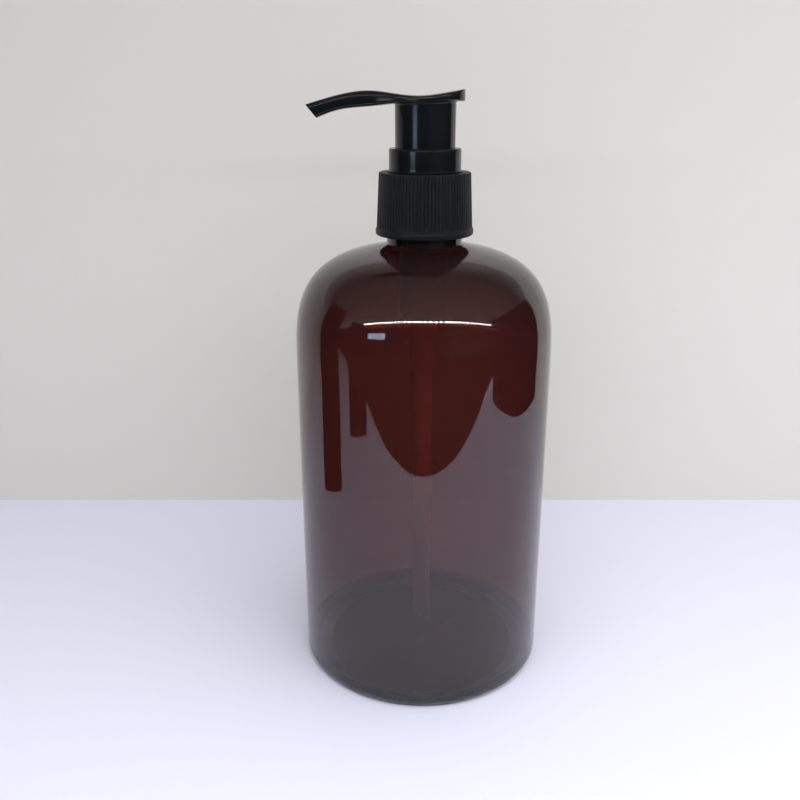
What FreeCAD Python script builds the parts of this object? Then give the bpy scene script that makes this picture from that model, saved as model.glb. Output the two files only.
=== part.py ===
"""Amber 500 ml bottle with a left-right-lock lotion pump.

Millimetres. +Z is up, the origin is the centre of the base, and the nozzle points along -X.
"""
import FreeCAD, Part
import math
import os

os.makedirs("parts", exist_ok=True)
Vector = FreeCAD.Vector
UP = Vector(0, 0, 1)

# ---- Driving dimensions -------------------------------------------------------------------

# Clearances between pieces
slide_gap = 0.05          # running fit of small round pieces inside each other
turn_gap = 0.05           # face to face, where one piece turns on another
free_gap = 0.30           # pieces that pass each other without touching

# Bottle
bottle_radius = 38.0
bottle_wall = 0.9
wall_height = 97.9        # top of the straight side
shoulder_rise = 29.3
shoulder_power = 3.39     # exponent of the rounded shoulder's superellipse
shoulder_slope = 0.21     # extra rise per millimetre towards the neck
heel_radius = 3.0
base_ring_width = 5.0     # flat ring that the bottle stands on
base_push_up = 2.5
base_thickness = 1.3
finish_radius = 10.85     # neck, without the thread; it sets the size of the pump
finish_wall = 1.3
neck_foot_fillet = 0.8
finish_height = 16.76     # neck foot to rim

# Screw thread, shared by the bottle and the closure
thread_pitch = 3.175
thread_turns = 1.5
thread_height = 1.0
thread_root_width = 1.7
thread_crest_width = 0.8
thread_below_rim = 3.0    # rim to the middle of the thread's last turn
thread_clearance = 0.25   # crest to the other piece's wall

# Closure
closure_wall = 1.72
closure_draft = 0.046     # radius gained per millimetre downwards
closure_plate = 1.2
closure_height = 17.4
closure_bead_height = 1.9
closure_bead_proud = 0.25
rib_count = 84
rib_depth = 0.38
gasket_thickness = 1.0
flange_proud = 0.45       # gasket and pump flange beyond the neck

# Pump housing
housing_flange = 1.0
housing_play = 0.4        # housing inside the neck bore
housing_wall = 0.6
upstand_height = 3.0
upstand_step = 0.1        # upstand proud of the housing's outside
cylinder_radius = 6.2     # bore that the piston runs in
cylinder_wall = 0.8
floor_thickness = 1.0
ball_radius = 2.38
ball_lift = 1.5
inlet_radius = 1.3
chamber_clearance = 0.8   # round the ball, for the liquid
spring_length = 20.8      # as fitted, with the head up
spring_wire_radius = 0.45
spring_play = 1.15        # coil to the cylinder's bore
spring_turns = 6.5
spring_seat_thickness = 1.2

# Dip tube
tube_radius = 2.8
tube_bore_radius = 2.0
socket_depth = 10.0
socket_wall = 1.1
tube_floor_gap = 3.5      # tube end to the bottle's inner floor
tube_foot_slant = 35      # degrees

# Collar
collar_wall = 0.93        # outside the housing's upstand
collar_height = 6.5       # above the closure's top
collar_edge_round = 0.6
collar_flange_proud = 0.5
collar_flange_height = 0.5
collar_gap = 0.18         # radial play of the head's skirt in the collar
snap_depth = 0.25         # bead that holds the collar on the upstand
snap_height = 0.5

# Head
stroke = 11.0
skirt_wall = 1.1
skirt_engagement = 4.0    # length held in the collar with the head up
bottoming_gap = 0.7       # head to collar with the head down
plate_overhang = 0.28     # thumb plate beyond the skirt, at its sides
rear_overhang = 2.43      # and at its rear edge
rear_rise = 3.85          # rear edge above the underside of the head
saddle_rise = 1.6
rear_edge_height = 0.8    # foot of the rear edge above the underside of the head
crest_rise = 3.0
crest_reach = 15.0
nozzle_reach = 32.9
nozzle_drop = 0.55        # top edge of the tip below the underside of the head
nozzle_sag = 1.2          # middle of the nozzle below its crest
nozzle_thickness = 3.6
nozzle_tip_thickness = 2.8
nozzle_cut_back = 3.0     # slant of the cut tip
nozzle_half_width = 2.9
nozzle_root_half_width = 4.6
nozzle_waist = 0.7        # half width given up at the crest
plate_taper = 0.7         # half width given up at the front of the thumb plate
plate_rear_taper = 2.0    # and at its rear corners
channel_radius = 1.1
channel_sag = 1.9         # end of the channel below the top edge of the tip
head_edge_round = 0.6

# Stem and piston
stem_radius = 3.2
stem_bore_radius = 2.0
boss_wall = 1.4
stem_insertion = 9.0      # length of stem held in the head's socket
head_roof = 3.4           # stem end to the underside of the head
stem_shoulder_proud = 1.0
stem_shoulder_height = 1.5
lost_motion = 1.0         # stem travel before the piston follows
piston_height = 5.9
piston_hub_wall = 1.1
piston_lip_height = 1.6
piston_waist = 0.6
seat_flange_play = 1.0    # valve rod's flange to the cylinder's bore
seat_flange_height = 1.2
rod_grip = 4.0            # valve rod inside the stem, above the piston
guide_plate = 1.2
guide_spigot = 1.3

# ---- Radii worked out from the sizes above -------------------------------------------------

neck_bore_radius = finish_radius - finish_wall
housing_radius = neck_bore_radius - housing_play
upstand_radius = housing_radius + upstand_step
collar_bore_radius = upstand_radius - housing_wall
skirt_radius = collar_bore_radius - collar_gap
skirt_bore_radius = skirt_radius - skirt_wall
collar_radius = upstand_radius + collar_wall
plate_hole_radius = collar_radius + free_gap
flange_radius = finish_radius + flange_proud
closure_bore_radius = finish_radius + thread_height + thread_clearance
closure_foot_radius = closure_bore_radius + closure_wall
plate_half_width = skirt_radius + plate_overhang
rear_reach = skirt_radius + rear_overhang
hub_bore_radius = stem_radius + slide_gap
shoulder_radius = stem_radius + stem_shoulder_proud
chamber_radius = ball_radius + chamber_clearance
spring_mean_radius = cylinder_radius - spring_play - spring_wire_radius
seat_flange_radius = cylinder_radius - seat_flange_play

# ---- Heights worked out from the sizes above -----------------------------------------------

neck_foot = wall_height + shoulder_rise + shoulder_slope * (bottle_radius - finish_radius)
rim = neck_foot + finish_height
flange_bottom = rim + gasket_thickness
flange_top = flange_bottom + housing_flange
plate_bottom = flange_top + turn_gap
closure_top = plate_bottom + closure_plate
closure_bottom = closure_top - closure_height
collar_bottom = closure_top + turn_gap
collar_top = closure_top + collar_height
head_bottom = collar_top + stroke + bottoming_gap
saddle_top = head_bottom + saddle_rise
crest_top = head_bottom + crest_rise
skirt_bottom = collar_top - skirt_engagement
well_floor = skirt_bottom - stroke - free_gap - guide_plate
spigot_bottom = well_floor - guide_spigot
stem_stop = well_floor - turn_gap
stem_shoulder_bottom = stem_stop - stem_shoulder_height
piston_top = stem_shoulder_bottom - lost_motion
piston_bottom = piston_top - piston_height
seat_top = piston_bottom - turn_gap
seat_bottom = seat_top - seat_flange_height
spring_foot = seat_bottom - spring_length
cylinder_floor = spring_foot - spring_seat_thickness
ball_middle = cylinder_floor - ball_lift - ball_radius
inlet_mouth = ball_middle + inlet_radius - (ball_radius + turn_gap) * math.sqrt(2)
socket_top = inlet_mouth - floor_thickness
socket_bottom = socket_top - socket_depth
stem_top = head_bottom - head_roof
inner_floor = base_push_up + base_thickness
tube_bottom = inner_floor + tube_floor_gap

thread_first = rim - thread_below_rim - thread_pitch * thread_turns
snap_middle = flange_top + upstand_height / 2


# ---- Helpers -------------------------------------------------------------------------------

def path(corners, closed=False):
    """Edges in the XZ plane through (radius, height) or (radius, height, rounding) corners."""
    places = [Vector(corner[0], 0, corner[1]) for corner in corners]
    edges = []
    last = None
    first = None
    for index, corner in enumerate(corners):
        here = places[index]
        arrive = here
        leave = here
        rounded = len(corner) > 2
        if rounded:
            back = (places[index - 1] - here).normalize()
            onward = (places[(index + 1) % len(places)] - here).normalize()
            half_angle = back.getAngle(onward) / 2
            reach = corner[2] / math.tan(half_angle)
            arrive = here + back * reach
            leave = here + onward * reach
        if last is not None and last.distanceToPoint(arrive) > 1e-6:
            edges.append(Part.LineSegment(last, arrive).toShape())
        if rounded:
            inward = (back + onward).normalize()
            middle = here + inward * (corner[2] / math.sin(half_angle) - corner[2])
            edges.append(Part.Arc(arrive, middle, leave).toShape())
        if first is None:
            first = arrive
        last = leave
    if closed:
        edges.append(Part.LineSegment(last, first).toShape())
    return edges


def turned(edges):
    """Solid of revolution about Z from a closed outline."""
    return Part.Face(Part.Wire(Part.__sortEdges__(edges))).revolve(Vector(), UP, 360)


def ring(*corners):
    """Solid of revolution about Z from the corners of its half section."""
    return turned(path(corners, closed=True))


def spline(points):
    """One smooth edge through the points."""
    curve = Part.BSplineCurve()
    curve.interpolate(points)
    return curve.toShape()


def dome(foot_radius, foot, rise):
    """Shallow arc from the axis down to a ring of this radius and height."""
    sphere = (foot_radius ** 2 + rise ** 2) / (2 * rise)
    sag = sphere - math.sqrt(sphere ** 2 - foot_radius ** 2 / 4)
    return Part.Arc(Vector(0, 0, foot + rise), Vector(foot_radius / 2, 0, foot + rise - sag),
                    Vector(foot_radius, 0, foot)).toShape()


def shoulder(neck_radius, side_radius, rise, steps=14):
    """Rounded shoulder, as a superellipse that leans up towards the neck."""
    points = []
    for step in range(steps + 1):
        angle = math.pi / 2 * step / steps
        share = 2 / shoulder_power
        radius = neck_radius + (side_radius - neck_radius) * abs(math.cos(angle)) ** share
        if step == steps:
            radius = neck_radius
        lift = rise * math.sin(angle) ** share + shoulder_slope * (side_radius - radius)
        points.append(Vector(radius, 0, wall_height + lift))
    return spline(points)


def thread(radius, middle, crest_side):
    """Screw thread ridge that stands out (+1) or in (-1) from a wall at this radius."""
    sink = 0.3
    root = radius - crest_side * sink
    crest = radius + crest_side * thread_height
    half_root = thread_root_width / 2
    half_crest = thread_crest_width / 2
    corners = [(root, middle - half_root), (crest, middle - half_crest),
               (crest, middle + half_crest), (root, middle + half_root)]
    section = Part.Wire(path(corners, closed=True))
    helix = Part.makeHelix(thread_pitch, thread_pitch * thread_turns, radius)
    helix.translate(Vector(0, 0, middle))
    ridge = Part.Wire(helix.Edges).makePipeShell([section], True, True)
    return ridge if ridge.Volume > 0 else ridge.reversed()


def round_edge(shape, rounding, radius, height):
    """Fillet of the circular edges of this radius at this height."""
    edges = [edge for edge in shape.Edges
             if not edge.Degenerated and isinstance(edge.Curve, Part.Circle)
             and abs(edge.Curve.Radius - radius) < 1e-3
             and abs(edge.Curve.Center.z - height) < 1e-3]
    return shape.makeFillet(rounding, edges)


# ---- Bottle --------------------------------------------------------------------------------

def make_bottle():
    ring_outer = bottle_radius - heel_radius
    ring_inner = ring_outer - base_ring_width
    inner_radius = bottle_radius - bottle_wall
    inner_rise = shoulder_rise - bottle_wall
    inner_neck_foot = wall_height + inner_rise + shoulder_slope * (inner_radius - neck_bore_radius)
    rim_round = 0.3

    outer_dome = dome(ring_inner, 0, base_push_up)
    heel = path([(ring_inner, 0), (bottle_radius, 0, heel_radius), (bottle_radius, wall_height)])
    outer_shoulder = shoulder(finish_radius, bottle_radius, shoulder_rise)
    finish = path([(finish_radius, neck_foot), (finish_radius, rim, rim_round),
                   (neck_bore_radius, rim, rim_round), (neck_bore_radius, inner_neck_foot)])
    inner_shoulder = shoulder(neck_bore_radius, inner_radius, inner_rise)
    inner_heel = heel_radius + base_thickness
    inside = path([(inner_radius, wall_height), (inner_radius, base_thickness, inner_heel),
                   (ring_inner, base_thickness)])
    inner_dome = dome(ring_inner, base_thickness, base_push_up)
    axis = path([(0, inner_floor), (0, base_push_up)])
    body = turned([outer_dome, outer_shoulder, inner_shoulder, inner_dome]
                  + heel + finish + inside + axis)
    body = round_edge(body, neck_foot_fillet, finish_radius, neck_foot)
    return body.fuse(thread(finish_radius, thread_first, 1))


# ---- Closure -------------------------------------------------------------------------------

def rib_section(crest_radius, height):
    """Closed wire of the ribbed outline at one height."""
    points = []
    for rib in range(rib_count):
        for share, depth in ((0.0, rib_depth), (0.3, 0.0), (0.7, 0.0)):
            angle = 2 * math.pi * (rib + share) / rib_count
            radius = crest_radius - depth
            points.append(Vector(radius * math.cos(angle), radius * math.sin(angle), height))
    return Part.makePolygon(points + [points[0]])


def make_closure():
    bead_top = closure_bottom + closure_bead_height
    ribs_top_radius = closure_foot_radius - closure_draft * (closure_top - closure_bottom)
    ribs_foot_radius = closure_foot_radius - closure_draft * closure_bead_height
    ribs = Part.makeLoft([rib_section(ribs_foot_radius, bead_top - 0.2),
                          rib_section(ribs_top_radius, closure_top)], True, True)
    edge_round = 0.5
    envelope = ring((0, closure_bottom), (closure_foot_radius + 1, closure_bottom),
                    (ribs_foot_radius + 0.1, bead_top),
                    (ribs_top_radius, closure_top, edge_round), (0, closure_top))
    bead_radius = closure_foot_radius + closure_bead_proud
    bead_round = 0.6
    bead = ring((0, closure_bottom), (bead_radius, closure_bottom, bead_round),
                (bead_radius, bead_top, bead_round), (0, bead_top))
    shell = ribs.common(envelope).fuse(bead)
    mouth_chamfer = 0.5
    hollow = ring((0, closure_bottom - 1), (closure_bore_radius + mouth_chamfer + 1, closure_bottom - 1),
                  (closure_bore_radius, closure_bottom + mouth_chamfer),
                  (closure_bore_radius, plate_bottom), (plate_hole_radius, plate_bottom),
                  (plate_hole_radius, closure_top + 1), (0, closure_top + 1))
    shell = shell.cut(hollow)
    return shell.fuse(thread(closure_bore_radius, thread_first - thread_pitch / 2, -1))


def make_gasket():
    return ring((housing_radius + 0.1, rim), (flange_radius, rim),
                (flange_radius, flange_bottom), (housing_radius + 0.1, flange_bottom))


# ---- Pump ----------------------------------------------------------------------------------

def make_collar():
    """Turned ring that snaps over the housing's upstand and guides the skirt of the head."""
    socket_radius = upstand_radius
    socket_ceiling = flange_top + upstand_height
    flange = collar_radius + collar_flange_proud
    flange_roof = collar_bottom + collar_flange_height
    body = ring((socket_radius, flange_top), (collar_radius, flange_top),
                (collar_radius, collar_bottom), (flange, collar_bottom), (flange, flange_roof, 0.2),
                (collar_radius, flange_roof), (collar_radius, collar_top, collar_edge_round),
                (collar_bore_radius, collar_top, 0.2), (collar_bore_radius, socket_ceiling),
                (socket_radius, socket_ceiling))
    groove_bottom = snap_middle - snap_height
    groove_top = snap_middle + snap_height
    groove = ring((socket_radius - 0.1, groove_bottom), (socket_radius, groove_bottom),
                  (socket_radius + snap_depth, snap_middle),
                  (socket_radius, groove_top), (socket_radius - 0.1, groove_top))
    return body.cut(groove)


def make_housing():
    """Cylinder of the pump, with its flange, snap upstand, ball seat and dip tube socket."""
    upstand_top = flange_top + upstand_height
    cylinder_outer = cylinder_radius + cylinder_wall
    step_bottom = well_floor - floor_thickness
    chamber_outer = chamber_radius + cylinder_wall
    socket_radius = tube_radius + socket_wall
    cone_height = chamber_radius - inlet_radius
    base_cone = cylinder_outer - chamber_outer
    outer = [(inlet_radius, socket_top), (tube_radius, socket_top), (tube_radius, socket_bottom),
             (socket_radius, socket_bottom), (socket_radius, socket_top),
             (chamber_outer, socket_top + chamber_outer - socket_radius),
             (chamber_outer, cylinder_floor - floor_thickness),
             (cylinder_outer, cylinder_floor - floor_thickness + base_cone),
             (cylinder_outer, step_bottom), (housing_radius, step_bottom + 1.0),
             (housing_radius, flange_bottom), (flange_radius, flange_bottom),
             (flange_radius, flange_top), (upstand_radius, flange_top),
             (upstand_radius, snap_middle - snap_height), (upstand_radius + snap_depth, snap_middle),
             (upstand_radius, snap_middle + snap_height), (upstand_radius, upstand_top)]
    inner = [(collar_bore_radius, upstand_top), (collar_bore_radius, well_floor),
             (cylinder_radius, well_floor), (cylinder_radius, cylinder_floor),
             (chamber_radius, cylinder_floor), (chamber_radius, inlet_mouth + cone_height),
             (inlet_radius, inlet_mouth)]
    return ring(*outer, *inner)


def make_stem_guide():
    """Ring at the foot of the well that guides the stem and stops its shoulder."""
    plate_top = well_floor + guide_plate
    bore = stem_radius + slide_gap
    counterbore = shoulder_radius + free_gap
    return ring((bore, well_floor), (counterbore, well_floor), (counterbore, spigot_bottom),
                (cylinder_radius, spigot_bottom), (cylinder_radius, well_floor),
                (collar_bore_radius, well_floor), (collar_bore_radius, plate_top),
                (bore, plate_top))


def make_stem():
    foot = seat_top + 2.0
    return ring((stem_bore_radius, foot), (stem_radius, foot), (stem_radius, stem_shoulder_bottom),
                (shoulder_radius, stem_shoulder_bottom), (shoulder_radius, stem_stop),
                (stem_radius, stem_stop), (stem_radius, stem_top, 0.3), (stem_bore_radius, stem_top))


def make_piston_seat():
    """Valve rod pressed into the stem, with the flange that the piston seals on."""
    rod_top = piston_top + rod_grip
    spring_spigot = spring_mean_radius - spring_wire_radius - free_gap
    spigot_foot = seat_bottom - 2.0
    body = ring((0, spigot_foot), (spring_spigot, spigot_foot, 0.4),
                (spring_spigot, seat_bottom), (seat_flange_radius, seat_bottom),
                (seat_flange_radius, seat_top), (stem_bore_radius, seat_top),
                (stem_bore_radius, rod_top, 0.5), (0, rod_top))
    groove_width = 1.2
    groove_depth = 0.9
    groove = Part.makeBox(stem_bore_radius, groove_width, rod_top - seat_top + 1,
                          Vector(stem_bore_radius - groove_depth, -groove_width / 2, seat_top + 0.3))
    opposite = groove.copy()
    opposite.rotate(Vector(), UP, 180)
    return body.cut(groove.fuse(opposite))


def make_piston():
    """Soft piston with a sealing lip at each end, sliding on the stem."""
    lip = cylinder_radius - slide_gap
    waist = lip - piston_waist
    hub = hub_bore_radius + piston_hub_wall
    cup = 0.7
    web_bottom = piston_bottom + piston_height / 2 - 0.7
    web_top = web_bottom + 1.4
    return ring((hub_bore_radius, piston_bottom), (hub, piston_bottom), (hub, web_bottom),
                (lip - cup, web_bottom), (lip - cup, piston_bottom), (lip, piston_bottom),
                (lip, piston_bottom + piston_lip_height), (waist, web_bottom), (waist, web_top),
                (lip, piston_top - piston_lip_height), (lip, piston_top), (lip - cup, piston_top),
                (lip - cup, web_top), (hub, web_top), (hub, piston_top),
                (hub_bore_radius, piston_top))


def make_spring():
    """Coil spring between the spring seat and the flange of the valve rod."""
    rise = spring_length - 2 * spring_wire_radius
    helix = Part.makeHelix(rise / spring_turns, rise, spring_mean_radius)
    helix.translate(Vector(0, 0, spring_foot + spring_wire_radius))
    start = Vector(spring_mean_radius, 0, spring_foot + spring_wire_radius)
    wire = Part.Wire(Part.makeCircle(spring_wire_radius, start, Vector(0, 1, 0)))
    coil = Part.Wire(helix.Edges).makePipeShell([wire], True, True)
    return coil if coil.Volume > 0 else coil.reversed()


def make_spring_seat():
    """Slotted disc that carries the spring and keeps the ball in its chamber."""
    disc = ring((0, cylinder_floor), (cylinder_radius - slide_gap, cylinder_floor),
                (cylinder_radius - slide_gap, spring_foot), (0, spring_foot))
    slot_width = 1.2
    slot_inner = 1.0
    slot_outer = chamber_radius - 0.2
    slot_count = 4
    for number in range(slot_count):
        slot = Part.makeBox(slot_outer - slot_inner, slot_width, spring_seat_thickness + 2,
                            Vector(slot_inner, -slot_width / 2, cylinder_floor - 1))
        slot.rotate(Vector(), UP, 360 / slot_count * number)
        disc = disc.cut(slot)
    return disc


def make_valve_ball():
    return Part.makeSphere(ball_radius, Vector(0, 0, ball_middle))


def make_dip_tube():
    """Straight suction tube with a slanted foot."""
    tube = ring((tube_bore_radius, tube_bottom), (tube_radius, tube_bottom),
                (tube_radius, socket_top), (tube_bore_radius, socket_top))
    block = 4 * tube_radius
    wedge = Part.makeBox(2 * block, block, block, Vector(-block, -block / 2, -block))
    wedge.rotate(Vector(), Vector(0, 1, 0), tube_foot_slant)
    slant_rise = tube_radius * math.tan(math.radians(tube_foot_slant))
    wedge.translate(Vector(0, 0, tube_bottom + slant_rise))
    return tube.cut(wedge)


# ---- Head ----------------------------------------------------------------------------------

def head_plan():
    """Outline of the head from above: narrow nozzle, wide thumb plate, rounded rear."""
    side = [Vector(-nozzle_reach, nozzle_half_width, 0),
            Vector(-crest_reach, nozzle_root_half_width - nozzle_waist, 0),
            Vector(-skirt_radius - 1.5, nozzle_root_half_width + 0.6, 0),
            Vector(-skirt_radius / 2, plate_half_width - plate_taper, 0),
            Vector(1.0, plate_half_width, 0),
            Vector(rear_reach - 2 * plate_rear_taper, plate_half_width - plate_rear_taper, 0)]
    rear = Vector(rear_reach, 0, 0)
    mirrored = [Vector(point.x, -point.y, 0) for point in side]
    rear_edge = Part.Arc(side[-1], rear, mirrored[-1]).toShape()
    tip_edge = Part.LineSegment(side[0], mirrored[0]).toShape()
    return Part.Wire(Part.__sortEdges__([spline(side), rear_edge, spline(mirrored), tip_edge]))


def head_profile():
    """Outline of the head from the side: arched nozzle, saddle and raised rear."""
    tip_top = head_bottom - nozzle_drop
    mid_nozzle = -(nozzle_reach + crest_reach) / 2
    mid_top = crest_top - nozzle_sag
    top = spline([Vector(-nozzle_reach, 0, tip_top),
                  Vector(mid_nozzle, 0, mid_top),
                  Vector(-crest_reach, 0, crest_top),
                  Vector(-skirt_radius + 1.0, 0, saddle_top + 0.55),
                  Vector(-1.0, 0, saddle_top),
                  Vector(skirt_radius - 3.5, 0, saddle_top + 0.75),
                  Vector(rear_reach, 0, head_bottom + rear_rise)])
    tip_foot = Vector(-nozzle_reach + nozzle_cut_back, 0, tip_top - nozzle_tip_thickness)
    under = spline([tip_foot,
                    Vector(mid_nozzle, 0, mid_top - nozzle_thickness),
                    Vector(-crest_reach, 0, crest_top - nozzle_thickness + 0.1),
                    Vector(-skirt_radius, 0, head_bottom),
                    Vector(0, 0, head_bottom)])
    rear_foot = head_bottom + rear_edge_height
    closing = path([(0, head_bottom), (skirt_radius - 1, rear_foot), (rear_reach, rear_foot),
                    (rear_reach, head_bottom + rear_rise)])
    tip = Part.LineSegment(tip_foot, Vector(-nozzle_reach, 0, tip_top)).toShape()
    return Part.Wire(Part.__sortEdges__([top, under, tip] + closing))


def nozzle_channel():
    """Passage from the stem up and along the middle of the nozzle to its open end."""
    bend_height = head_bottom + 0.2
    arch_height = crest_top - nozzle_thickness / 2
    tip_height = head_bottom - nozzle_drop - channel_sag
    middle = spline([Vector(0, 0, bend_height), Vector(-crest_reach / 2, 0, head_bottom + 0.5),
                     Vector(-crest_reach, 0, arch_height),
                     Vector(-(nozzle_reach + crest_reach) / 2, 0, arch_height - nozzle_sag),
                     Vector(-nozzle_reach - 0.5, 0, tip_height)])
    start = middle.Curve.value(middle.FirstParameter)
    section = Part.Wire(Part.makeCircle(channel_radius, start, Vector(-1, 0, 0)))
    along = Part.Wire(middle).makePipeShell([section], True, True)
    upright = Part.makeCylinder(stem_bore_radius, bend_height + 0.4 - stem_top, Vector(0, 0, stem_top))
    return along if along.Volume > 0 else along.reversed(), upright


def make_actuator():
    """Push-down head in one moulding: nozzle, thumb plate, skirt and stem socket."""
    half_depth = nozzle_thickness + crest_rise
    plan = Part.Face(head_plan())
    plan.translate(Vector(0, 0, head_bottom - half_depth))
    column = plan.extrude(Vector(0, 0, 2 * half_depth))
    side = Part.Face(head_profile())
    side.translate(Vector(0, -plate_half_width - 1, 0))
    slab = side.extrude(Vector(0, 2 * plate_half_width + 2, 0))
    head = slab.common(column)
    head = head.makeFillet(head_edge_round, head_edges(head))
    sink = 0.6
    skirt = ring((skirt_bore_radius, skirt_bottom), (skirt_radius, skirt_bottom, 0.3),
                 (skirt_radius, saddle_top - sink), (0, saddle_top - sink),
                 (0, head_bottom - sink), (skirt_bore_radius, head_bottom - sink))
    boss_bottom = stem_top - stem_insertion
    boss = ring((0, boss_bottom), (hub_bore_radius + boss_wall, boss_bottom),
                (hub_bore_radius + boss_wall, head_bottom), (0, head_bottom))
    socket = Part.makeCylinder(hub_bore_radius, stem_top + turn_gap - boss_bottom + 1,
                               Vector(0, 0, boss_bottom - 1))
    body = head.fuse(skirt).fuse(boss).cut(socket)
    along, upright = nozzle_channel()
    return body.cut(upright).cut(along)


def head_edges(head):
    """The long upper and lower rims of the head, without the cut tip."""
    chosen = []
    for edge in head.Edges:
        box = edge.BoundBox
        upright = box.ZLength > 2 and box.XLength < 0.2 and box.YLength < 0.2
        at_tip = box.XMax < -nozzle_reach + nozzle_cut_back + 0.3
        if not upright and not at_tip:
            chosen.append(edge)
    return chosen


# ---- Output --------------------------------------------------------------------------------

pieces = {
    "bottle": make_bottle,
    "closure": make_closure,
    "gasket": make_gasket,
    "collar": make_collar,
    "housing": make_housing,
    "stem_guide": make_stem_guide,
    "stem": make_stem,
    "piston_seat": make_piston_seat,
    "piston": make_piston,
    "spring": make_spring,
    "spring_seat": make_spring_seat,
    "valve_ball": make_valve_ball,
    "dip_tube": make_dip_tube,
    "actuator": make_actuator,
}

for name, make in pieces.items():
    shape = make()
    solids = shape.Solids
    solid = solids[0] if len(solids) == 1 else Part.makeCompound(solids)
    box = solid.BoundBox
    print(f"{name:12s} solids {len(solids)} valid {solid.isValid()} volume {solid.Volume:9.1f} "
          f"z {box.ZMin:7.2f} to {box.ZMax:7.2f}")
    solid.exportStep(f"parts/{name}.step")
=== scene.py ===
import bpy
import math
import numpy as np
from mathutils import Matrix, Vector


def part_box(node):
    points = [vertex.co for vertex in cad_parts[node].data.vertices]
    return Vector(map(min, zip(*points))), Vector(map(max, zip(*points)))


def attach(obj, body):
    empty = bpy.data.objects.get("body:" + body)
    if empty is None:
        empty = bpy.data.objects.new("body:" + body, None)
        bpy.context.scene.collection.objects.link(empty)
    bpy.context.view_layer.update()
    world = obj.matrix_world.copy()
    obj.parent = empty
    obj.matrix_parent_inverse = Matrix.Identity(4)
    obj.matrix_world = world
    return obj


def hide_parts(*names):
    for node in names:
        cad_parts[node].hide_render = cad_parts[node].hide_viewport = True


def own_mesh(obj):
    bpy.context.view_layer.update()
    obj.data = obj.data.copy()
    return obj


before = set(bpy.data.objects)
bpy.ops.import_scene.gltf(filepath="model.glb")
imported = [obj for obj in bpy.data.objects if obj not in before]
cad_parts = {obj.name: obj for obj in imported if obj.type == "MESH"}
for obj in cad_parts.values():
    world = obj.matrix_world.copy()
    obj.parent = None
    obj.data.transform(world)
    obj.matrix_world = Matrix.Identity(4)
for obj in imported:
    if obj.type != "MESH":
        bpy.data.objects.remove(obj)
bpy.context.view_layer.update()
mm = 0.001
mergeMm = 1e-4   # points closer than this are one

print("frame loaded:", len(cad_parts), "CAD nodes")


# Sizes read from the frame.

def nodeBox(node):
    # low and high corners of a CAD node, in mm
    low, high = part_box(node)
    return np.array(low) / mm, np.array(high) / mm


bottleHigh = nodeBox("bottle")[1]
closureLow, closureHigh = nodeBox("closure")
collarLow, collarHigh = nodeBox("collar")
headLow, headHigh = nodeBox("actuator")
tubeLow, tubeHigh = nodeBox("dip_tube")
springLow, springHigh = nodeBox("spring")


# Mesh helpers.

def smoothCurve(knotsX, knotsY, x):
    # natural cubic spline through the knots: solves for the second derivatives, then blends each span
    kx, ky = np.asarray(knotsX, float), np.asarray(knotsY, float)
    n, h = len(kx), np.diff(kx)
    system, right = np.eye(n), np.zeros(n)
    inner = np.arange(1, n - 1)
    system[inner, inner - 1] = h[:-1]
    system[inner, inner] = 2 * (h[:-1] + h[1:])
    system[inner, inner + 1] = h[1:]
    right[inner] = 6 * (np.diff(ky)[1:] / h[1:] - np.diff(ky)[:-1] / h[:-1])
    bend = np.linalg.solve(system, right)
    span = np.clip(np.searchsorted(kx, x) - 1, 0, n - 2)
    left, width = kx[span], h[span]
    a, b = (left + width - x) / width, (x - left) / width
    return (a * ky[span] + b * ky[span + 1]
            + ((a**3 - a) * bend[span] + (b**3 - b) * bend[span + 1]) * width**2 / 6)


def roundedOutline(corners, arcSteps=8, closed=True):
    # corners of (radius, height, rounding) in mm; each rounded corner becomes a tangent arc
    points = []
    count = len(corners)
    for i, corner in enumerate(corners):
        here = np.array(corner[:2], float)
        rounding = corner[2] if len(corner) > 2 else 0.0
        if rounding == 0 or (not closed and i in (0, count - 1)):
            points.append(here[None])
            continue
        back = np.array(corners[i - 1][:2]) - here
        onward = np.array(corners[(i + 1) % count][:2]) - here
        back, onward = back / np.linalg.norm(back), onward / np.linalg.norm(onward)
        half = math.acos(np.clip(back @ onward, -1, 1)) / 2
        inward = (back + onward) / np.linalg.norm(back + onward)
        centre = here + inward * rounding / math.sin(half)
        first = here + back * rounding / math.tan(half) - centre
        last = here + onward * rounding / math.tan(half) - centre
        sweep = np.linspace(0, 1, arcSteps + 1)[:, None]
        total = math.pi - 2 * half
        blend = first * np.sin((1 - sweep) * total) + last * np.sin(sweep * total)
        points.append(centre + blend / math.sin(total))
    return np.concatenate(points)


def denser(outline, longest):
    # splits long runs of a closed outline so that no step is longer than this, in mm
    pieces = []
    for a, b in zip(outline, np.roll(outline, -1, axis=0)):
        steps = max(1, int(math.ceil(np.linalg.norm(b - a) / longest)))
        pieces.append(a + (b - a) * (np.arange(steps) / steps)[:, None])
    return np.concatenate(pieces)


def gridObject(name, points, loopRows=False):
    # rows x columns x 3 grid of points in mm; columns always close on themselves, rows with loopRows
    rows, columns = points.shape[:2]
    index = np.arange(rows * columns).reshape(rows, columns)
    down = np.roll(index, -1, axis=0) if loopRows else index[1:]
    upper = index if loopRows else index[:-1]
    quads = np.stack([upper, np.roll(upper, -1, axis=1), np.roll(down, -1, axis=1), down], axis=-1)
    return meshObject(name, points.reshape(-1, 3), quads.reshape(-1, 4))


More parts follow.
